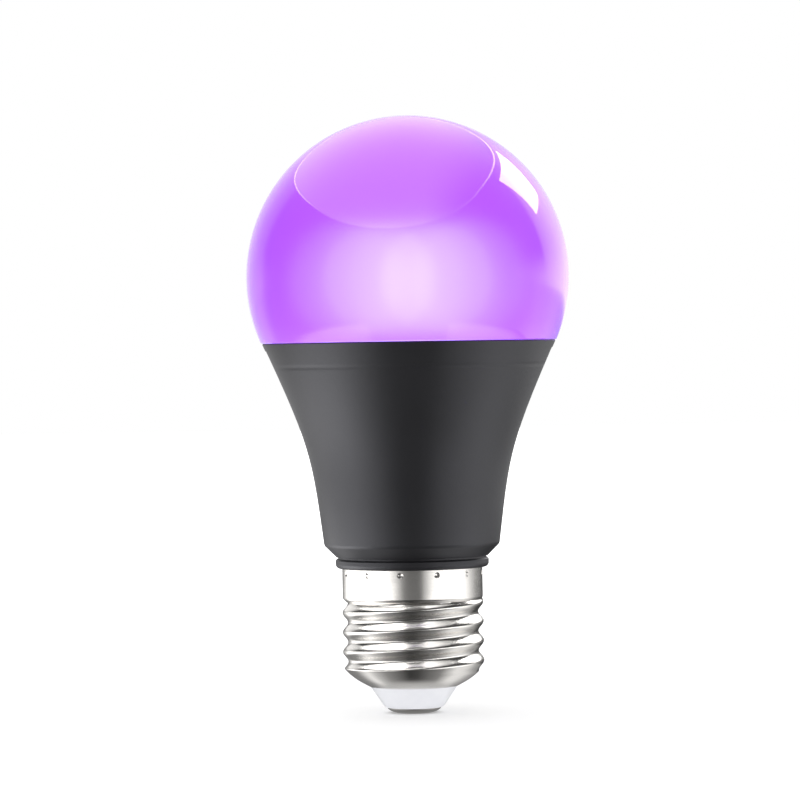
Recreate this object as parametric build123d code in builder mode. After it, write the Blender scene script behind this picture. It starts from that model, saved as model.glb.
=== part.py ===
"""Coloured LED bulb with an E27 screw cap.

The bulb stands on the flat face of its centre contact, and its axis is +Z.
Every length is in millimetres and every angle in degrees.
"""
import os
from math import ceil, cos, radians, sin, sqrt, tan

from build123d import *

# Dome
bulb_diameter = 60.0
dome_centre_above_rim = 12.0
spigot_depth = 3.0
rim_edge = 0.2

# Housing
housing_height = 41.9
mouth_wall = 2.3
rim_step = 0.2
rim_band_height = 1.4
rim_band_relief = 0.12
flare_angle = 24.2
flare_run = 20.0
neck_diameter = 32.6
neck_angle = 7.2
neck_run = 16.0
foot_height = 2.2
foot_undercut = 2.2
foot_round = 0.9
groove_height = 0.35
groove_depth = 0.5
collar_diameter = 28.5
collar_height = 1.75
collar_round = 0.8
collar_edge = 0.25

# Screw cap, E27 size
thread_pitch = 25.4 / 7
thread_crest_diameter = 26.26
thread_root_diameter = 24.26
thread_overlap = 0.5
layers_per_turn = 12
first_crest_height = 4.7
skirt_diameter = 26.1
skirt_height = 5.4
cap_height = 22.05
cap_wall = 0.35
lip_diameter = 16.4
lip_width = 0.8
bowl_height = 2.6
bowl_radius = 10.0

# Crimp marks round the top of the cap
marks_per_ring = 4
first_mark_angle = 200.0
mark_spacing = 30.0
mark_drop = 0.9
dimple_radius = 0.55
dimple_depth = 0.2
dot_radius = 0.22
dot_depth = 0.14
dot_spacing = 0.65

# Insulator and centre contact
insulator_height = 3.95
insulator_tip_diameter = 10.8
insulator_edge = 0.3
contact_height = 1.0
contact_diameter = 9.9
contact_flat_diameter = 6.0
contact_edge = 0.2
contact_curve = 3.2
shank_diameter = 2.2
shank_recess = 0.5

# Room between pieces that fit into one another
fit_clearance = 0.1

# Heights and radii that follow from the sizes above
insulator_bottom = contact_height
cap_bottom = insulator_bottom + insulator_height
bowl_top = cap_bottom + bowl_height
cap_top = cap_bottom + cap_height
skirt_bottom = cap_top - skirt_height
thread_depth = (thread_crest_diameter - thread_root_diameter) / 2
shoulder_bottom = skirt_bottom - thread_depth
collar_top = cap_top + collar_height
foot_bottom = collar_top + groove_height
foot_top = foot_bottom + foot_height
rim = cap_top + housing_height
band_bottom = rim - rim_band_height
spigot_bottom = rim - spigot_depth
dome_centre = rim + dome_centre_above_rim

dome_radius = bulb_diameter / 2
dome_rim_radius = sqrt(dome_radius**2 - dome_centre_above_rim**2)
rim_radius = dome_rim_radius - rim_step
spigot_radius = rim_radius - mouth_wall
neck_radius = neck_diameter / 2
collar_radius = collar_diameter / 2
skirt_radius = skirt_diameter / 2
crest_radius = thread_crest_diameter / 2
root_radius = thread_root_diameter / 2
lip_radius = lip_diameter / 2
hole_radius = lip_radius - lip_width
shank_radius = shank_diameter / 2

os.makedirs("parts", exist_ok=True)


def punch_mark(radius, depth):
    """A mark punched in from outside, with its floor half as wide as its mouth."""
    Cone(radius / 2, 3 * radius / 2, 2 * depth, rotation=(0, 90, 0), mode=Mode.SUBTRACT)


# Diffuser: a frosted globe whose spigot sits in the mouth of the housing
with BuildPart() as diffuser:
    with BuildSketch(Plane.XZ):
        with BuildLine():
            Polyline(
                (0, dome_centre + dome_radius),
                (0, spigot_bottom + fit_clearance),
                (spigot_radius, spigot_bottom + fit_clearance),
                (spigot_radius, rim),
                (dome_rim_radius, rim),
            )
            ThreePointArc(
                (dome_rim_radius, rim),
                (dome_radius, dome_centre),
                (0, dome_centre + dome_radius),
            )
        make_face()
    revolve(axis=Axis.Z)
    rim_edges = diffuser.edges().filter_by(GeomType.CIRCLE).filter_by_position(Axis.Z, rim, rim)
    chamfer(rim_edges.sort_by(SortBy.RADIUS)[-1], length=rim_edge)
diffuser.part.label = "diffuser"
export_step(diffuser.part, "parts/diffuser.step")

# Housing: one moulding, from the mouth that holds the globe to the plug inside the screw cap
flare_top_radius = rim_radius - rim_band_height * tan(radians(flare_angle)) - rim_band_relief
with BuildPart() as housing:
    with BuildSketch(Plane.XZ):
        with BuildLine():
            flare = Bezier(
                (neck_radius, foot_top),
                (
                    neck_radius + neck_run * sin(radians(neck_angle)),
                    foot_top + neck_run * cos(radians(neck_angle)),
                ),
                (
                    flare_top_radius - flare_run * sin(radians(flare_angle)),
                    band_bottom - flare_run * cos(radians(flare_angle)),
                ),
                (flare_top_radius, band_bottom),
            )
            Polyline(
                flare @ 1,
                (flare_top_radius + rim_band_relief, band_bottom),
                (rim_radius, rim),
                (spigot_radius + fit_clearance, rim),
                (spigot_radius + fit_clearance, spigot_bottom),
                (0, spigot_bottom),
                (0, bowl_top + fit_clearance),
                (root_radius - cap_wall - fit_clearance, bowl_top + fit_clearance),
                (root_radius - cap_wall - fit_clearance, shoulder_bottom),
                (skirt_radius - cap_wall - fit_clearance, skirt_bottom),
                (skirt_radius - cap_wall - fit_clearance, cap_top),
                (collar_radius, cap_top),
                (collar_radius, collar_top),
                (collar_radius - groove_depth, collar_top),
                (collar_radius - groove_depth, foot_bottom),
                (neck_radius - foot_undercut, foot_bottom),
                flare @ 0,
            )
        make_face()
    revolve(axis=Axis.Z)
    outer_edges = housing.edges().filter_by(GeomType.CIRCLE)
    rim_circles = outer_edges.filter_by_position(Axis.Z, rim, rim)
    chamfer(rim_circles.sort_by(SortBy.RADIUS)[-1], length=rim_edge)
    collar_circles = outer_edges.filter_by_position(Axis.Z, collar_top, collar_top)
    chamfer(collar_circles.sort_by(SortBy.RADIUS)[-1], length=collar_edge)
    fillet(outer_edges.filter_by_position(Axis.Z, foot_top, foot_top), radius=foot_round)
    lip_circles = housing.edges().filter_by(GeomType.CIRCLE).filter_by_position(Axis.Z, cap_top, cap_top)
    fillet(lip_circles.sort_by(SortBy.RADIUS)[-1], radius=collar_round)
housing.part.label = "housing"
export_step(housing.part, "parts/housing.step")

# Screw shell: level circles set off the axis, each turned on from the one below, make the rolled thread
thread_turns = (skirt_bottom + thread_overlap - cap_bottom) / thread_pitch
with BuildPart() as screw_shell:
    for layer in range(ceil(thread_turns * layers_per_turn) + 1):
        turn = layer / layers_per_turn
        crest_angle = 360 * (turn - first_crest_height / thread_pitch)
        with BuildSketch(Plane.XY.offset(cap_bottom + turn * thread_pitch)):
            with PolarLocations(thread_depth / 2, 1, start_angle=crest_angle, rotate=False):
                Circle(root_radius + thread_depth / 2)
    loft(ruled=True)

    # The foot is drawn in to a lip, and the thread runs out on it and under the skirt
    with BuildSketch(Plane.XZ):
        with BuildLine():
            foot_arc = RadiusArc((lip_radius, cap_bottom), (root_radius, bowl_top), -bowl_radius)
            Polyline(
                foot_arc @ 1,
                (crest_radius + thread_depth, bowl_top + 2 * thread_depth),
                (crest_radius + thread_depth, shoulder_bottom),
                (skirt_radius - cap_wall / 2, skirt_bottom + thread_overlap),
                (0, skirt_bottom + thread_overlap),
                (0, cap_bottom),
                foot_arc @ 0,
            )
        make_face()
    revolve(axis=Axis.Z, mode=Mode.INTERSECT)
    with BuildSketch(Plane.XZ):
        with BuildLine():
            Polyline(
                (0, cap_top),
                (skirt_radius, cap_top),
                (skirt_radius, skirt_bottom),
                (root_radius, shoulder_bottom),
                (0, shoulder_bottom),
                close=True,
            )
        make_face()
    revolve(axis=Axis.Z)

    # The inside is bored to the sheet's wall, with a hole in the lip
    with BuildSketch(Plane.XZ):
        with BuildLine():
            Polyline(
                (root_radius - cap_wall, bowl_top),
                (root_radius - cap_wall, shoulder_bottom),
                (skirt_radius - cap_wall, skirt_bottom),
                (skirt_radius - cap_wall, cap_top),
                (0, cap_top),
                (0, cap_bottom),
                (hole_radius, cap_bottom),
                (hole_radius, cap_bottom + cap_wall),
                (lip_radius, cap_bottom + cap_wall),
                close=True,
            )
        make_face()
    revolve(axis=Axis.Z, mode=Mode.SUBTRACT)

    # Crimp marks: two rings of dimples with a ring of paired dots between them
    with Locations((0, 0, cap_top - mark_drop)):
        with PolarLocations(skirt_radius, marks_per_ring, start_angle=first_mark_angle):
            punch_mark(dimple_radius, dimple_depth)
        with PolarLocations(skirt_radius, marks_per_ring, start_angle=first_mark_angle + 2 * mark_spacing):
            punch_mark(dimple_radius, dimple_depth)
    with Locations((0, 0, cap_top - mark_drop + dot_spacing / 2), (0, 0, cap_top - mark_drop - dot_spacing / 2)):
        with PolarLocations(skirt_radius, marks_per_ring, start_angle=first_mark_angle + mark_spacing):
            punch_mark(dot_radius, dot_depth)
screw_shell.part.label = "screw_shell"
export_step(screw_shell.part, "parts/screw_shell.step")

# Insulator: a white moulded cone, held by a flange inside the foot of the screw shell
with BuildPart() as insulator:
    with BuildSketch(Plane.XZ):
        with BuildLine():
            Polyline(
                (shank_radius + fit_clearance, insulator_bottom),
                (insulator_tip_diameter / 2, insulator_bottom),
                (lip_radius - fit_clearance, cap_bottom),
                (hole_radius - fit_clearance, cap_bottom),
                (hole_radius - fit_clearance, cap_bottom + cap_wall + fit_clearance),
                (lip_radius - fit_clearance, cap_bottom + cap_wall + fit_clearance),
                (root_radius - cap_wall - fit_clearance, bowl_top),
                (shank_radius + fit_clearance, bowl_top),
                close=True,
            )
        make_face()
    revolve(axis=Axis.Z)
    tip_edges = insulator.edges().filter_by_position(Axis.Z, insulator_bottom, insulator_bottom)
    chamfer(tip_edges.sort_by(SortBy.RADIUS)[-1], length=insulator_edge)
insulator.part.label = "insulator"
export_step(insulator.part, "parts/insulator.step")

# Centre contact: a domed metal button with a shank through the insulator
with BuildPart() as centre_contact:
    with BuildSketch(Plane.XZ):
        with BuildLine():
            contact_face = Line((0, 0), (contact_flat_diameter / 2, 0))
            contact_side = RadiusArc(
                contact_face @ 1,
                (contact_diameter / 2, contact_height - contact_edge),
                -contact_curve,
            )
            Polyline(
                contact_side @ 1,
                (contact_diameter / 2, contact_height),
                (shank_radius, contact_height),
                (shank_radius, bowl_top - shank_recess),
                (0, bowl_top - shank_recess),
                (0, 0),
            )
        make_face()
    revolve(axis=Axis.Z)
centre_contact.part.label = "centre_contact"
export_step(centre_contact.part, "parts/centre_contact.step")
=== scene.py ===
"""Coloured LED bulb with a screw cap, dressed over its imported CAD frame.

The bulb stands on its centre contact with its axis up, in metres. Each section below is one piece of the
bulb, in the order in which it is put together, and the studio comes last.
"""
import math

import bpy
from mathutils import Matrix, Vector


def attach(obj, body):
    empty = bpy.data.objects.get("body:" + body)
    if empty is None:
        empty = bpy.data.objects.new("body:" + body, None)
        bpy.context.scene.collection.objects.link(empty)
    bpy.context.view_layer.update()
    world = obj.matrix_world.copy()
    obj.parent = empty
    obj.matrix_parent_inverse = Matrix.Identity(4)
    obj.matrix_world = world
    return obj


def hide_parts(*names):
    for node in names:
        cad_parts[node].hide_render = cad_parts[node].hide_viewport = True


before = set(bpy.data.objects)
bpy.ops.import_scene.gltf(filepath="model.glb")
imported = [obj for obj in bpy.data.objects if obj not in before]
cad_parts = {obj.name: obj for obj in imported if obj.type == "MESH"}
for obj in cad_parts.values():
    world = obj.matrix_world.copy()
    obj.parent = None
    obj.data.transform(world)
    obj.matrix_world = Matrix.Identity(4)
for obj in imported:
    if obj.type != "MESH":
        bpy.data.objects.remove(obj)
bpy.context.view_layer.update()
scene = bpy.context.scene
MM = 0.001

# ---------------------------------------------------------------------------------------------------------
# The photograph's view: a long lens level with the neck of the housing, three quarters of a metre away.
# The bulb leans a degree to the left in the picture, so the camera is rolled by that much.
# ---------------------------------------------------------------------------------------------------------
picture_width = 148.6 * MM
camera_distance = 0.76
camera_height = 0.066
picture_centre = Vector((-0.0018, 0.0, 0.0581))
camera_roll = math.radians(-0.9)
camera_data = bpy.data.cameras.new("studio_camera")
camera_data.sensor_width = 36.0
camera_data.lens = 36.0 * camera_distance / picture_width
camera_data.clip_start = 0.01
camera = bpy.data.objects.new("studio_camera", camera_data)
scene.collection.objects.link(camera)
camera.location = (picture_centre.x, -camera_distance, camera_height)
camera_turn = (picture_centre - camera.location).to_track_quat("-Z", "Y")
camera.rotation_euler = camera_turn.to_euler()
camera.rotation_euler.rotate_axis("Z", camera_roll)
scene.camera = camera

# ---------------------------------------------------------------------------------------------------------
# Housing: the black body that flares from the cap up to the dome. Injection-moulded PBT with a fine spark
# texture that leaves it satin, with a low band at its rim, pressed onto the globe's spigot.
# ---------------------------------------------------------------------------------------------------------
def colour(text):
    """An sRGB hex colour as the linear values that Blender wants."""
    parts = [int(text[i:i + 2], 16) / 255 for i in (1, 3, 5)]
    return tuple(p / 12.92 if p <= 0.04045 else ((p + 0.055) / 1.055) ** 2.4 for p in parts) + (1.0,)


def add_node(tree, kind, settings=None, inputs=None):
    """Adds a node with its settings, and links or sets its inputs."""
    made = tree.nodes.new(kind)
    for name, value in (settings or {}).items():
        setattr(made, name, value)
    for name, value in (inputs or {}).items():
        if isinstance(value, bpy.types.NodeSocket):
            tree.links.new(value, made.inputs[name])
        else:
            made.inputs[name].default_value = value
    return made


def new_material(name):
    """An empty material with its output node, and the tree that the rest is added to."""
    material = bpy.data.materials.new(name)
    material.use_nodes = True
    material.node_tree.nodes.clear()
    out = add_node(material.node_tree, "ShaderNodeOutputMaterial")
    return material, material.node_tree, out


def finish_node(node_name, material):
    """Gives a CAD node its finish."""
    for material_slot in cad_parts[node_name].material_slots:
        material_slot.material = material


grain_size, grain_depth = 0.4 * MM, 0.03 * MM
flow_size = 14 * MM
crease_height, crease_half_width, crease_depth = 64.4 * MM, 0.6 * MM, 0.03 * MM

# PBT, injection moulded in a textured tool: black, satin, with a grain that just breaks the gloss, drawn
# coarser than the real one so that it shows, and a faint crease below the rim where parts of the tool meet
housing_black, tree, out = new_material("moulded_black_pbt")
place = add_node(tree, "ShaderNodeTexCoord").outputs["Object"]
grain = add_node(tree, "ShaderNodeTexNoise", inputs={"Vector": place, "Scale": 1 / grain_size, "Detail": 3.0})
flow = add_node(tree, "ShaderNodeTexNoise", inputs={"Vector": place, "Scale": 1 / flow_size, "Detail": 2.0})
tone = add_node(tree, "ShaderNodeValToRGB", inputs={"Fac": flow.outputs["Fac"]})
tone.color_ramp.elements[0].position = 0.3
tone.color_ramp.elements[0].color = colour("#161618")
tone.color_ramp.elements[1].position = 0.7
tone.color_ramp.elements[1].color = colour("#1B1B1E")
gloss = add_node(tree, "ShaderNodeMapRange", inputs={
    "Value": grain.outputs["Fac"], "To Min": 0.42, "To Max": 0.5})
bump = add_node(tree, "ShaderNodeBump", inputs={
    "Height": grain.outputs["Fac"], "Strength": 0.3, "Distance": grain_depth})
up = add_node(tree, "ShaderNodeSeparateXYZ", inputs={"Vector": place}).outputs["Z"]
from_crease = add_node(tree, "ShaderNodeMath", {"operation": "SUBTRACT"}, {0: up, 1: crease_height})
from_crease = add_node(tree, "ShaderNodeMath", {"operation": "ABSOLUTE"}, {0: from_crease.outputs["Value"]})
crease = add_node(tree, "ShaderNodeMapRange", {"interpolation_type": "SMOOTHSTEP"}, {
    "Value": from_crease.outputs["Value"], "From Min": 0.0, "From Max": crease_half_width})
bump = add_node(tree, "ShaderNodeBump", inputs={
    "Height": crease.outputs["Result"], "Strength": 1.0, "Distance": crease_depth,
    "Normal": bump.outputs["Normal"]})
body = add_node(tree, "ShaderNodeBsdfPrincipled", inputs={
    "Base Color": tone.outputs["Color"], "Roughness": gloss.outputs["Result"], "IOR": 1.7,
    "Specular Tint": (0.93, 0.93, 1.0, 1.0), "Normal": bump.outputs["Normal"]})
tree.links.new(body.outputs["BSDF"], out.inputs["Surface"])
finish_node("housing", housing_black)

# ---------------------------------------------------------------------------------------------------------
# Diffuser: the globe over the light. Blown polycarbonate, frosted inside and glossy outside, tinted violet,
# lit from inside through its wall, and with a painted glow, brightest low down and deeper violet above.
# ---------------------------------------------------------------------------------------------------------
glow_bottom, glow_top = 68 * MM, 111 * MM
cloud_size = 9 * MM

# Violet frosted polycarbonate, glossy outside, under a clear bright skin: its emission is a painted glow,
# brightest low down, over the real light of the inner lamps through the wall
globe_violet, tree, out = new_material("frosted_violet_polycarbonate")
place = add_node(tree, "ShaderNodeTexCoord").outputs["Object"]
height = add_node(tree, "ShaderNodeSeparateXYZ", inputs={"Vector": place}).outputs["Z"]
# Painted glow: the emission colour goes from pale violet low down to deep violet higher up
level = add_node(tree, "ShaderNodeMapRange", inputs={
    "Value": height, "From Min": glow_bottom, "From Max": glow_top})
glow = add_node(tree, "ShaderNodeValToRGB", inputs={"Fac": level.outputs["Result"]})
glow.color_ramp.elements[0].position = 0.0
glow.color_ramp.elements[0].color = colour("#C482F2")
glow.color_ramp.elements[1].position = 1.0
glow.color_ramp.elements[1].color = colour("#A858F0")
for at, shade in ((0.1, "#B268F0"), (0.25, "#A85CF0"), (0.55, "#A24EF0")):
    step = glow.color_ramp.elements.new(at)
    step.color = colour(shade)
cloud = add_node(tree, "ShaderNodeTexNoise", inputs={"Vector": place, "Scale": 1 / cloud_size, "Detail": 2.0})
skin = add_node(tree, "ShaderNodeMapRange", inputs={
    "Value": cloud.outputs["Fac"], "To Min": 0.55, "To Max": 0.61})
globe = add_node(tree, "ShaderNodeBsdfPrincipled", inputs={
    "Base Color": colour("#A648FC"), "Roughness": skin.outputs["Result"], "IOR": 1.2,
    "Transmission Weight": 0.4,
    "Coat Weight": 1.0, "Coat Roughness": 0.02, "Coat IOR": 1.5,
    "Emission Color": glow.outputs["Color"], "Emission Strength": 0.55})
tree.links.new(globe.outputs["BSDF"], out.inputs["Surface"])
finish_node("diffuser", globe_violet)

# ---------------------------------------------------------------------------------------------------------
# Screw shell: the cap's threaded shell, rolled from thin brass sheet, nickel-plated, and crimped onto the
# housing's plug by punch marks round its upper edge.
# ---------------------------------------------------------------------------------------------------------
cap_bottom, cap_top = 4.95 * MM, 27.0 * MM
shoulder, skirt_bottom = 20.6 * MM, 21.6 * MM
root_radius, crest_radius, skirt_radius = 12.13 * MM, 13.13 * MM, 13.05 * MM
lip_radius, hole_radius, bowl_top = 8.2 * MM, 7.4 * MM, 7.55 * MM
thread_pitch = 25.4 / 7 * MM
first_crest = 4.7 * MM
sheet = 0.35 * MM
blend = 0.25 * MM
foot_bulge = 0.33 * MM
first_mark_angle, mark_spacing, mark_height = 200.0, 30.0, 26.1 * MM
dimple_mouth, dimple_floor, dimple_depth = 0.55 * MM, 0.15 * MM, 0.2 * MM
dot_mouth, dot_floor, dot_depth = 0.26 * MM, 0.08 * MM, 0.15 * MM
dot_spacing = 0.65 * MM
points_round, rows_up = 160, 110
mark_patch, patch_cuts = 0.8 * MM, 5
smooth_angle = math.radians(50)


def soften(low, high):
    """The lower of two values, eased where they are nearly equal."""
    ease = max(blend - abs(low - high), 0.0) / blend
    return min(low, high) - ease * ease * blend / 4


def shell_radius(z, angle):
    """How far the sheet stands from the axis: a rolled thread, drawn in at its foot and plain at its skirt."""
    turn = 2 * math.pi * (z - cap_bottom - first_crest) / thread_pitch
    thread = (root_radius + crest_radius) / 2 + (crest_radius - root_radius) / 2 * math.cos(angle - turn)
    if z < bowl_top:
        rise = (z - cap_bottom) / (bowl_top - cap_bottom)
        foot = lip_radius + (root_radius - lip_radius) * rise + foot_bulge * math.sin(math.pi * rise)
    else:
        foot = root_radius + (z - bowl_top)
    thread = soften(thread, foot)
    if z < shoulder:
        return thread
    under = min(1.0, (z - shoulder) / (skirt_bottom - shoulder))
    shelf = root_radius + (skirt_radius - root_radius) * math.sin(under * math.pi / 2)
    return shelf if under == 1.0 else -soften(-thread, -shelf)


def nearest_mark(z, angle):
    """The number of the nearest crimp mark, and how far aside of it and above it this point lies."""
    steps = (math.degrees(angle) - first_mark_angle) / mark_spacing
    number = round(steps)
    aside = (steps - number) * math.radians(mark_spacing) * skirt_radius
    return number, aside, z - mark_height


def mark_depth(z, angle):
    """How deep the sheet is punched: every third mark is a pair of small dots, the others round dimples."""
    number, aside, above = nearest_mark(z, angle)
    mouth, floor_edge, depth = dimple_mouth, dimple_floor, dimple_depth
    if number % 3 == 1:
        above = abs(above) - dot_spacing / 2
        mouth, floor_edge, depth = dot_mouth, dot_floor, dot_depth
    fall = (mouth - math.hypot(aside, above)) / (mouth - floor_edge)
    fall = min(max(fall, 0.0), 1.0)
    return depth * fall * fall * (3 - 2 * fall)


bpy.ops.object.select_all(action="DESELECT")
bpy.ops.mesh.primitive_circle_add(vertices=points_round, radius=root_radius, location=(0, 0, cap_bottom))
shell = bpy.context.object
shell.name = "screw_shell_sheet"
bpy.ops.object.transform_apply(location=True, rotation=True, scale=True)
rise = shell.modifiers.new("rise", "SCREW")
rise.angle = 0.0
rise.screw_offset = cap_top - cap_bottom
rise.steps = rise.render_steps = rows_up
rise.use_smooth_shade = False
bpy.ops.object.modifier_apply(modifier="rise")

# The sheet is divided finer round each crimp mark, and then every point goes to its place
bpy.ops.object.mode_set(mode="EDIT")
bpy.ops.mesh.select_mode(type="FACE")
bpy.ops.mesh.select_all(action="DESELECT")
bpy.ops.object.mode_set(mode="OBJECT")
for face in shell.data.polygons:
    _, aside, above = nearest_mark(face.center.z, math.atan2(face.center.y, face.center.x))
    face.select = max(abs(aside), abs(above)) < mark_patch
bpy.ops.object.mode_set(mode="EDIT")
bpy.ops.mesh.subdivide(number_cuts=patch_cuts)
bpy.ops.mesh.select_mode(type="VERT")
bpy.ops.mesh.select_all(action="DESELECT")
bpy.ops.object.mode_set(mode="OBJECT")
for point in shell.data.vertices:
    angle = math.atan2(point.co.y, point.co.x)
    reach = shell_radius(point.co.z, angle) - mark_depth(point.co.z, angle)
    point.co.x = reach * math.cos(angle)
    point.co.y = reach * math.sin(angle)

# The bottom edge is turned in as the lip, and the sheet gets its thickness inwards
for point in shell.data.vertices:
    point.select = point.co.z < cap_bottom + 0.01 * MM
turned_in = hole_radius / lip_radius
bpy.ops.object.mode_set(mode="EDIT")
bpy.ops.mesh.extrude_edges_move()
bpy.ops.transform.resize(value=(turned_in, turned_in, 1), center_override=(0, 0, 0))
bpy.ops.mesh.select_all(action="SELECT")
bpy.ops.mesh.normals_make_consistent(inside=False)
bpy.ops.object.mode_set(mode="OBJECT")
wall = shell.modifiers.new("sheet", "SOLIDIFY")
wall.thickness = sheet
wall.offset = -1.0
bpy.ops.object.modifier_apply(modifier="sheet")
bpy.ops.object.shade_smooth_by_angle(angle=smooth_angle)

line_size, line_stretch, line_depth = 12 * MM, 40.0, 0.02 * MM
smudge_size = 3 * MM

# Nickel plate on rolled sheet: bright, slightly warm, with faint lines round the cap from the rolls
shell_nickel, tree, out = new_material("nickel_plated_rolled_sheet")
place = add_node(tree, "ShaderNodeTexCoord").outputs["Object"]
stretched = add_node(tree, "ShaderNodeMapping", inputs={"Vector": place, "Scale": (1.0, 1.0, line_stretch)})
lines = add_node(tree, "ShaderNodeTexNoise", inputs={
    "Vector": stretched.outputs["Vector"], "Scale": 1 / line_size, "Detail": 4.0})
smudge = add_node(tree, "ShaderNodeTexNoise", inputs={"Vector": place, "Scale": 1 / smudge_size, "Detail": 2.0})
mixed = add_node(tree, "ShaderNodeMath", {"operation": "MULTIPLY_ADD"}, {
    0: lines.outputs["Fac"], 1: 0.6, 2: smudge.outputs["Fac"]})
gloss = add_node(tree, "ShaderNodeMapRange", inputs={
    "Value": mixed.outputs["Value"], "From Min": 0.5, "From Max": 1.1, "To Min": 0.16, "To Max": 0.27})
rolled = add_node(tree, "ShaderNodeBump", inputs={
    "Height": lines.outputs["Fac"], "Strength": 0.15, "Distance": line_depth})
plate = add_node(tree, "ShaderNodeBsdfPrincipled", inputs={
    "Base Color": colour("#F1EEEA"), "Metallic": 1.0, "Roughness": gloss.outputs["Result"],
    "Normal": rolled.outputs["Normal"]})
tree.links.new(plate.outputs["BSDF"], out.inputs["Surface"])
shell.data.materials.append(shell_nickel)
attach(shell, "root")
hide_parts("screw_shell")

# ---------------------------------------------------------------------------------------------------------
# Insulator: the white cone that keeps the centre contact off the shell. Moulded in glossy heat-proof
# plastic and held by a flange inside the foot of the shell.
# ---------------------------------------------------------------------------------------------------------
mottle_size = 1.5 * MM

# White moulded plastic: cool white, softly glossy
insulator_white, tree, out = new_material("moulded_white_plastic")
place = add_node(tree, "ShaderNodeTexCoord").outputs["Object"]
mottle = add_node(tree, "ShaderNodeTexNoise", inputs={"Vector": place, "Scale": 1 / mottle_size, "Detail": 3.0})
tone = add_node(tree, "ShaderNodeValToRGB", inputs={"Fac": mottle.outputs["Fac"]})
tone.color_ramp.elements[0].color = colour("#EEEFF4")
tone.color_ramp.elements[1].color = colour("#F6F7FB")
gloss = add_node(tree, "ShaderNodeMapRange", inputs={
    "Value": mottle.outputs["Fac"], "To Min": 0.28, "To Max": 0.38})
cone = add_node(tree, "ShaderNodeBsdfPrincipled", inputs={
    "Base Color": tone.outputs["Color"], "Roughness": gloss.outputs["Result"], "IOR": 1.5})
tree.links.new(cone.outputs["BSDF"], out.inputs["Surface"])
finish_node("insulator", insulator_white)

# ---------------------------------------------------------------------------------------------------------
# Centre contact: the button at the very end. Pressed from steel strip and left bare, with its shank
# through the insulator.
# ---------------------------------------------------------------------------------------------------------
# A wave texture of scale 1 has a ring every pi / 10
press_ring_spacing = 1.047 * MM
press_ring_scale = math.pi / 10 / press_ring_spacing

# Bare pressed steel: grey, with rings round the axis from the press tool
contact_steel, tree, out = new_material("pressed_bare_steel")
place = add_node(tree, "ShaderNodeTexCoord").outputs["Object"]
rings = add_node(tree, "ShaderNodeTexWave", {"wave_type": "RINGS", "rings_direction": "Z"}, {
    "Vector": place, "Scale": press_ring_scale, "Distortion": 1.0, "Detail": 2.0})
gloss = add_node(tree, "ShaderNodeMapRange", inputs={
    "Value": rings.outputs["Fac"], "To Min": 0.3, "To Max": 0.42})
contact = add_node(tree, "ShaderNodeBsdfPrincipled", inputs={
    "Base Color": colour("#9C9A97"), "Metallic": 1.0, "Roughness": gloss.outputs["Result"]})
tree.links.new(contact.outputs["BSDF"], out.inputs["Surface"])
finish_node("centre_contact", contact_steel)

# ---------------------------------------------------------------------------------------------------------
# The studio: a white paper floor and white all round, with a large soft panel overhead. What shines in the
# bulb is laid out by itself, dark behind the camera: floor, walls, a ring card, a window and a neck card.
# ---------------------------------------------------------------------------------------------------------
bpy.ops.object.select_all(action="DESELECT")
floor_size = 6.0
bpy.ops.mesh.primitive_plane_add(size=floor_size, location=(0, 0, 0))
floor = bpy.context.object
floor.name = "floor"

# What shines in the bulb from each side, by compass degrees from the camera and as shares of room_level
room_level = 2.0
ring_light = (
    (-170, 0.1), (-150, 0.12), (-136, 0.4), (-120, 1.0), (-60, 1.15), (-42, 0.95), (-33, 0.75), (-24, 0.4),
    (-15, 0.12), (-6, 0.08), (12, 0.07), (22, 0.38), (32, 0.75), (60, 1.0), (80, 0.85), (104, 0.35),
    (118, 0.15), (150, 0.04), (170, 0.08))
# The floor under and close round the bulb, as its shine sees it, is dim: painted shadow of the bulb
under_light = 0.25
near_light = (
    (-150, 0.1), (-110, 0.12), (-97, 0.15), (-84, 0.35), (-72, 0.5), (-60, 0.3), (-40, 0.14), (-20, 0.07),
    (-6, 0.02), (6, 0.03), (20, 0.07), (38, 0.12), (64, 0.45), (85, 0.4), (110, 0.2), (150, 0.1))
floor_light = (
    (-165, 0.04), (-140, 0.2), (-117, 1.15), (-93, 1.6), (-71, 1.4), (-51, 0.5), (-40, 0.18), (-22, 0.01),
    (22, 0.01), (45, 0.08), (60, 0.22), (80, 0.5), (95, 0.5), (116, 0.12), (134, 0.03), (165, 0.02))
far_light = (
    (-165, 0.45), (-130, 0.42), (-118, 0.1), (-108, 0.06), (-30, 0.05), (0, 0.02), (40, 0.05), (76, 0.15),
    (90, 0.4), (104, 0.7), (126, 0.6), (142, 0.33), (165, 0.15))
horizon_light = (
    (-165, 0.5), (-128, 0.5), (-120, 0.2), (-108, 0.06), (-30, 0.05), (0, 0.02), (40, 0.05), (76, 0.15),
    (90, 0.4), (104, 0.8), (118, 1.2), (130, 1.3), (150, 1.0), (165, 0.7))
wall_light = (
    (-150, 0.5), (-130, 0.3), (-122, 0.03), (-30, 0.02), (0, 0.02), (40, 0.02), (113, 0.03), (117, 0.65),
    (125, 0.9), (140, 0.9), (155, 0.7), (170, 0.45))


# Where each zone of the floor begins and where it is full, away from the axis, and its light; the zones under
# and near the bulb are dim as painted shadow of the bulb
floor_zones = (
    (0.006, 0.01, near_light), (0.03, 0.05, floor_light), (0.09, 0.16, far_light), (0.5, 2.0, horizon_light))


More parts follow.
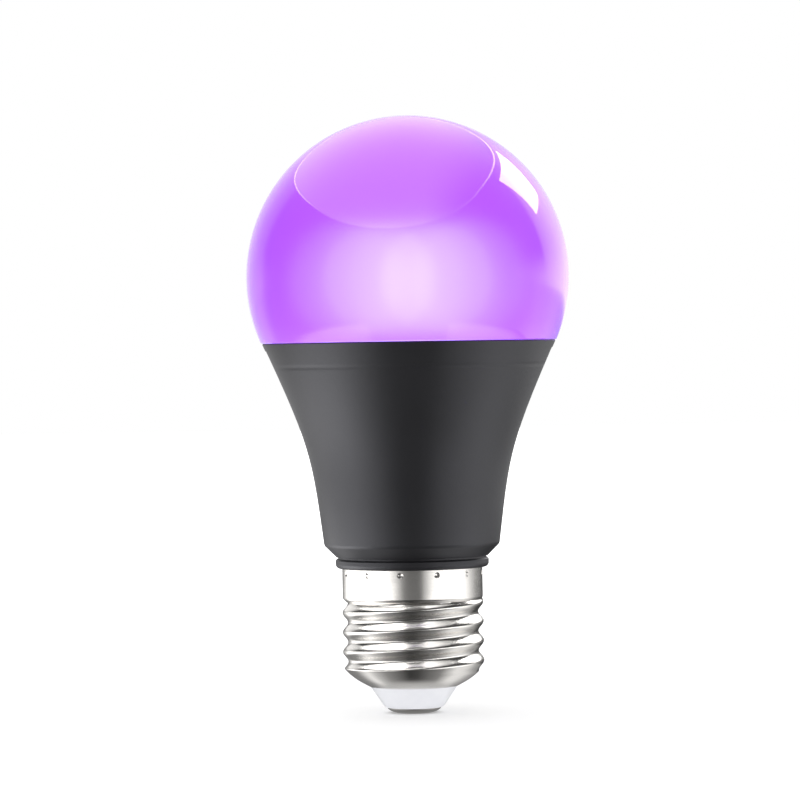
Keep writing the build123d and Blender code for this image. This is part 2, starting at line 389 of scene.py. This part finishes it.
def add_room(tree, way, stops):
    """What shines in the bulb from all round the room, by the compass: white behind, dark by the camera."""
    parts = add_node(tree, "ShaderNodeSeparateXYZ", inputs={"Vector": way})
    ahead = add_node(tree, "ShaderNodeMath", {"operation": "MULTIPLY"}, {0: parts.outputs["Y"], 1: -1.0})
    turned = add_node(tree, "ShaderNodeMath", {"operation": "ARCTAN2"}, {
        0: parts.outputs["X"], 1: ahead.outputs["Value"]})
    compass = add_node(tree, "ShaderNodeMapRange", inputs={
        "Value": turned.outputs["Value"], "From Min": -math.pi, "From Max": math.pi})
    walls = add_node(tree, "ShaderNodeValToRGB", inputs={"Fac": compass.outputs["Result"]})
    behind = stops[0][1]
    walls.color_ramp.elements[0].color = (behind, behind, behind, 1)
    walls.color_ramp.elements[1].color = (behind, behind, behind, 1)
    for degrees, white in stops:
        stop = walls.color_ramp.elements.new(degrees / 360 + 0.5)
        stop.color = (white, white, white, 1)
    return walls.outputs["Color"]


# White paper: its own light makes it as white as the room far off, and is weaker towards the bulb, which paints
# shade round the foot over the bulb's real shadow
floor_paper, tree, out = new_material("white_floor_paper")
rays = add_node(tree, "ShaderNodeLightPath")
paper = add_node(tree, "ShaderNodeBsdfDiffuse", inputs={"Color": (0.85, 0.85, 0.85, 1)})
spot = add_node(tree, "ShaderNodeTexCoord").outputs["Object"]
away = add_node(tree, "ShaderNodeVectorMath", {"operation": "LENGTH"}, {0: spot})
# The paper's own light drops towards the bulb: painted shade round the foot
painted_shade_lift = add_node(tree, "ShaderNodeMapRange", inputs={
    "Value": away.outputs["Value"], "From Min": 0.08, "From Max": 0.4, "To Min": 0.3, "To Max": 1.0})
# Near the foot the paper also shines on the bulb's dull surfaces: painted bounce light
bounce = add_node(tree, "ShaderNodeMapRange", inputs={
    "Value": away.outputs["Value"], "From Min": 0.03, "From Max": 0.08, "To Min": 0.5, "To Max": 0.0})
seen = add_node(tree, "ShaderNodeMath", {"operation": "MULTIPLY"}, {
    0: rays.outputs["Is Camera Ray"], 1: painted_shade_lift.outputs["Result"]})
seen = add_node(tree, "ShaderNodeMath", {"operation": "MULTIPLY_ADD"}, {
    0: rays.outputs["Is Diffuse Ray"], 1: bounce.outputs["Result"], 2: seen.outputs["Value"]})
lift = add_node(tree, "ShaderNodeEmission", inputs={"Color": (1, 1, 1, 1), "Strength": seen.outputs["Value"]})
lit = add_node(tree, "ShaderNodeAddShader", inputs={0: paper.outputs["BSDF"], 1: lift.outputs["Emission"]})
shine = (under_light, under_light, under_light, 1)
for start, end, stops in floor_zones:
    beyond = add_node(tree, "ShaderNodeMapRange", {"interpolation_type": "SMOOTHSTEP"}, {
        "Value": away.outputs["Value"], "From Min": start, "From Max": end})
    zones = add_node(tree, "ShaderNodeMix", {"data_type": "RGBA"}, {
        0: beyond.outputs["Result"], 6: shine, 7: add_room(tree, spot, stops)})
    shine = zones.outputs[2]
mirrored = add_node(tree, "ShaderNodeEmission", inputs={"Color": shine, "Strength": room_level})
both = add_node(tree, "ShaderNodeMixShader", inputs={
    0: rays.outputs["Is Glossy Ray"], 1: lit.outputs["Shader"], 2: mirrored.outputs["Emission"]})
tree.links.new(both.outputs["Shader"], out.inputs["Surface"])
floor.data.materials.append(floor_paper)

# The room: white behind the bulb, an even fill on dull surfaces, and the walls that shine in the bulb
world = bpy.data.worlds.new("studio_room")
scene.world = world
world.use_nodes = True
tree = world.node_tree
tree.nodes.clear()
out = add_node(tree, "ShaderNodeOutputWorld")
rays = add_node(tree, "ShaderNodeLightPath")
way = add_node(tree, "ShaderNodeTexCoord").outputs["Generated"]
climb = add_node(tree, "ShaderNodeSeparateXYZ", inputs={"Vector": way}).outputs["Z"]
low = add_node(tree, "ShaderNodeMapRange", {"interpolation_type": "SMOOTHSTEP"}, {
    "Value": climb, "From Min": -0.02, "From Max": 0.2})
walls = add_node(tree, "ShaderNodeMix", {"data_type": "RGBA"}, {
    0: low.outputs["Result"], 6: add_room(tree, way, horizon_light), 7: add_room(tree, way, wall_light)})
high = add_node(tree, "ShaderNodeMapRange", {"interpolation_type": "SMOOTHSTEP"}, {
    "Value": climb, "From Min": 0.5, "From Max": 0.75})
walls = add_node(tree, "ShaderNodeMix", {"data_type": "RGBA"}, {
    0: high.outputs["Result"], 6: walls.outputs[2], 7: (0.03, 0.03, 0.03, 1)})
room = add_node(tree, "ShaderNodeBackground", inputs={"Color": walls.outputs[2], "Strength": room_level})
white_out = add_node(tree, "ShaderNodeBackground", inputs={"Color": (1, 1, 1, 1), "Strength": 1.0})
fill = add_node(tree, "ShaderNodeBackground", inputs={"Color": (1, 1, 1, 1), "Strength": 0.6})
seen = add_node(tree, "ShaderNodeMath", {"operation": "MAXIMUM"}, {
    0: rays.outputs["Is Camera Ray"], 1: rays.outputs["Is Transmission Ray"]})
lit = add_node(tree, "ShaderNodeMixShader", inputs={
    0: rays.outputs["Is Glossy Ray"], 1: fill.outputs["Background"], 2: room.outputs["Background"]})
shown = add_node(tree, "ShaderNodeMixShader", inputs={
    0: seen.outputs["Value"], 1: lit.outputs["Shader"], 2: white_out.outputs["Background"]})
tree.links.new(shown.outputs["Shader"], out.inputs["Surface"])

# The overhead panel lights the bulb softly, and its shine is left to the panel's own face
overhead_level = 0.8
overhead_width, overhead_length = 1.1, 1.96
overhead_area = math.pi / 4 * overhead_width * overhead_length
overhead_data = bpy.data.lights.new("overhead", "AREA")
overhead_data.shape = "ELLIPSE"
overhead_data.size, overhead_data.size_y = overhead_width, overhead_length
overhead_data.energy = overhead_level * math.pi * overhead_area
overhead = bpy.data.objects.new("overhead", overhead_data)
scene.collection.objects.link(overhead)
overhead.location = (-0.11, 0.2, 0.6)
overhead.visible_camera = False
overhead.visible_glossy = False

# The panel's face as the bulb's shine sees it: blunt in front and drawn out behind, in a bright metal frame
# that is lost in the glare towards the front
panel_middle = Vector((-0.115, -0.15, 0.6))
panel_half_width, panel_front, panel_back = 0.565, 0.64, 1.54
panel_frame_share = 0.012
bpy.ops.object.select_all(action="DESELECT")
bpy.ops.mesh.primitive_circle_add(vertices=128, radius=1.0, fill_type="NGON", location=(0, 0, 0))
panel = bpy.context.object
panel.name = "overhead_panel"
for point in panel.data.vertices:
    side, ahead = point.co.x, point.co.y
    if ahead > 0:
        side *= abs(side) ** 0.3
        ahead *= panel_back / panel_front
    point.co = panel_middle + Vector((side * panel_half_width, ahead * panel_front, 0.0))
bpy.ops.object.mode_set(mode="EDIT")
bpy.ops.mesh.select_all(action="SELECT")
bpy.ops.mesh.inset(thickness=panel_frame_share)
bpy.ops.object.mode_set(mode="OBJECT")
for face in panel.data.polygons:
    face.material_index = 1 if len(face.vertices) == 4 else 0

# Its cloth is brightest in front at the left, and its frame shines out towards the back
panel_cloth, tree, out = new_material("overhead_panel_cloth")
spot = add_node(tree, "ShaderNodeTexCoord").outputs["Object"]
parts = add_node(tree, "ShaderNodeSeparateXYZ", inputs={"Vector": spot})
to_back = add_node(tree, "ShaderNodeMapRange", inputs={
    "Value": parts.outputs["Y"], "From Min": 0.3, "From Max": 1.4, "To Min": 2.1, "To Max": 1.0})
to_right = add_node(tree, "ShaderNodeMapRange", {"interpolation_type": "SMOOTHSTEP"}, {
    "Value": parts.outputs["X"], "From Min": 0.08, "From Max": 0.45, "To Min": 1.0, "To Max": 0.2})
level = add_node(tree, "ShaderNodeMath", {"operation": "MULTIPLY"}, {
    0: to_back.outputs["Result"], 1: to_right.outputs["Result"]})
shine = add_node(tree, "ShaderNodeEmission", inputs={"Color": (1, 1, 1, 1), "Strength": level.outputs["Value"]})
tree.links.new(shine.outputs["Emission"], out.inputs["Surface"])
panel_frame, tree, out = new_material("overhead_panel_frame")
spot = add_node(tree, "ShaderNodeTexCoord").outputs["Object"]
ahead = add_node(tree, "ShaderNodeSeparateXYZ", inputs={"Vector": spot}).outputs["Y"]
level = add_node(tree, "ShaderNodeMapRange", {"interpolation_type": "SMOOTHSTEP"}, {
    "Value": ahead, "From Min": -0.2, "From Max": 0.25, "To Min": 1.6, "To Max": 5.0})
shine = add_node(tree, "ShaderNodeEmission", inputs={
    "Color": (1, 1, 1, 1), "Strength": level.outputs["Result"]})
tree.links.new(shine.outputs["Emission"], out.inputs["Surface"])
panel.data.materials.append(panel_cloth)
panel.data.materials.append(panel_frame)

# A low ring of card round the foot, which only the bulb's shine sees, lights the cap and the flare
ring_radius, ring_height, ring_middle = 0.1, 0.03, 0.0155
ring_fade_start, ring_fade_end = 0.022, 0.0305
bpy.ops.object.select_all(action="DESELECT")
bpy.ops.mesh.primitive_cylinder_add(
    vertices=96, radius=ring_radius, depth=ring_height, end_fill_type="NOTHING", location=(0, 0, ring_middle))
ring = bpy.context.object
ring.name = "low_ring"
bpy.ops.object.transform_apply(location=True, rotation=True, scale=True)
ring_card, tree, out = new_material("white_ring_card")
spot = add_node(tree, "ShaderNodeTexCoord").outputs["Object"]
up = add_node(tree, "ShaderNodeSeparateXYZ", inputs={"Vector": spot}).outputs["Z"]
level = add_node(tree, "ShaderNodeMapRange", {"interpolation_type": "SMOOTHSTEP"}, {
    "Value": up, "From Min": ring_fade_start, "From Max": ring_fade_end, "To Min": 2.2, "To Max": 0.3})
shine = add_node(tree, "ShaderNodeEmission", inputs={
    "Color": add_room(tree, spot, ring_light), "Strength": level.outputs["Result"]})
tree.links.new(shine.outputs["Emission"], out.inputs["Surface"])
ring.data.materials.append(ring_card)

# The window: a bright four-cornered pane behind and to the right
window_level = 9.0
window_corners = ((0.416, 0.161, 0.509), (0.483, 0.302, 0.313), (0.236, 0.451, 0.416), (0.341, 0.455, 0.301))
bpy.ops.object.select_all(action="DESELECT")
bpy.ops.mesh.primitive_plane_add(size=1.0, location=(0, 0, 0))
window = bpy.context.object
window.name = "window"
for point, corner in zip(window.data.vertices, window_corners):
    point.co = corner
window_light, tree, out = new_material("window_daylight")
shine = add_node(tree, "ShaderNodeEmission", inputs={"Color": (1, 1, 1, 1), "Strength": window_level})
tree.links.new(shine.outputs["Emission"], out.inputs["Surface"])
window.data.materials.append(window_light)

# A small grey card hung before the neck keeps the panel out of the middle of the thread
neck_card_level = 0.15
neck_card_middle, neck_card_width, neck_card_height = (0, -0.035, 0.059), 0.024, 0.052
bpy.ops.object.select_all(action="DESELECT")
bpy.ops.mesh.primitive_plane_add(size=1.0, location=neck_card_middle, rotation=(math.radians(90), 0, 0))
neck_card = bpy.context.object
neck_card.name = "neck_card"
bpy.ops.transform.resize(value=(neck_card_width, 1, neck_card_height), center_override=neck_card_middle)
bpy.ops.object.transform_apply(location=True, rotation=True, scale=True)
grey_card, tree, out = new_material("grey_card")
shine = add_node(tree, "ShaderNodeEmission", inputs={"Color": (1, 1, 1, 1), "Strength": neck_card_level})
tree.links.new(shine.outputs["Emission"], out.inputs["Surface"])
neck_card.data.materials.append(grey_card)

# These only shine in the bulb, and light nothing
for card in (ring, window, panel, neck_card):
    card.visible_camera = False
    card.visible_diffuse = False
    card.visible_transmission = False
    card.visible_shadow = False

# The light inside the globe: a ring of soft lamps and one in its middle, seen only through the violet wall,
# which takes most of their green
lamps_in_ring, lamp_ring_radius, lamp_height = 6, 0.0098, 0.0805
for count in range(lamps_in_ring + 1):
    azimuth = 2 * math.pi / lamps_in_ring * count
    reach = 0.0 if count == lamps_in_ring else lamp_ring_radius
    data = bpy.data.lights.new(f"inner_glow_{count}", "POINT")
    data.energy = 0.0041
    data.shadow_soft_size = 0.01
    data.color = (0.3, 1.0, 0.2)
    glow_lamp = bpy.data.objects.new(f"inner_glow_{count}", data)
    scene.collection.objects.link(glow_lamp)
    glow_lamp.location = (reach * math.cos(azimuth), reach * math.sin(azimuth), lamp_height)
    glow_lamp.visible_diffuse = False
    glow_lamp.visible_glossy = False

scene.view_settings.view_transform = "Standard"
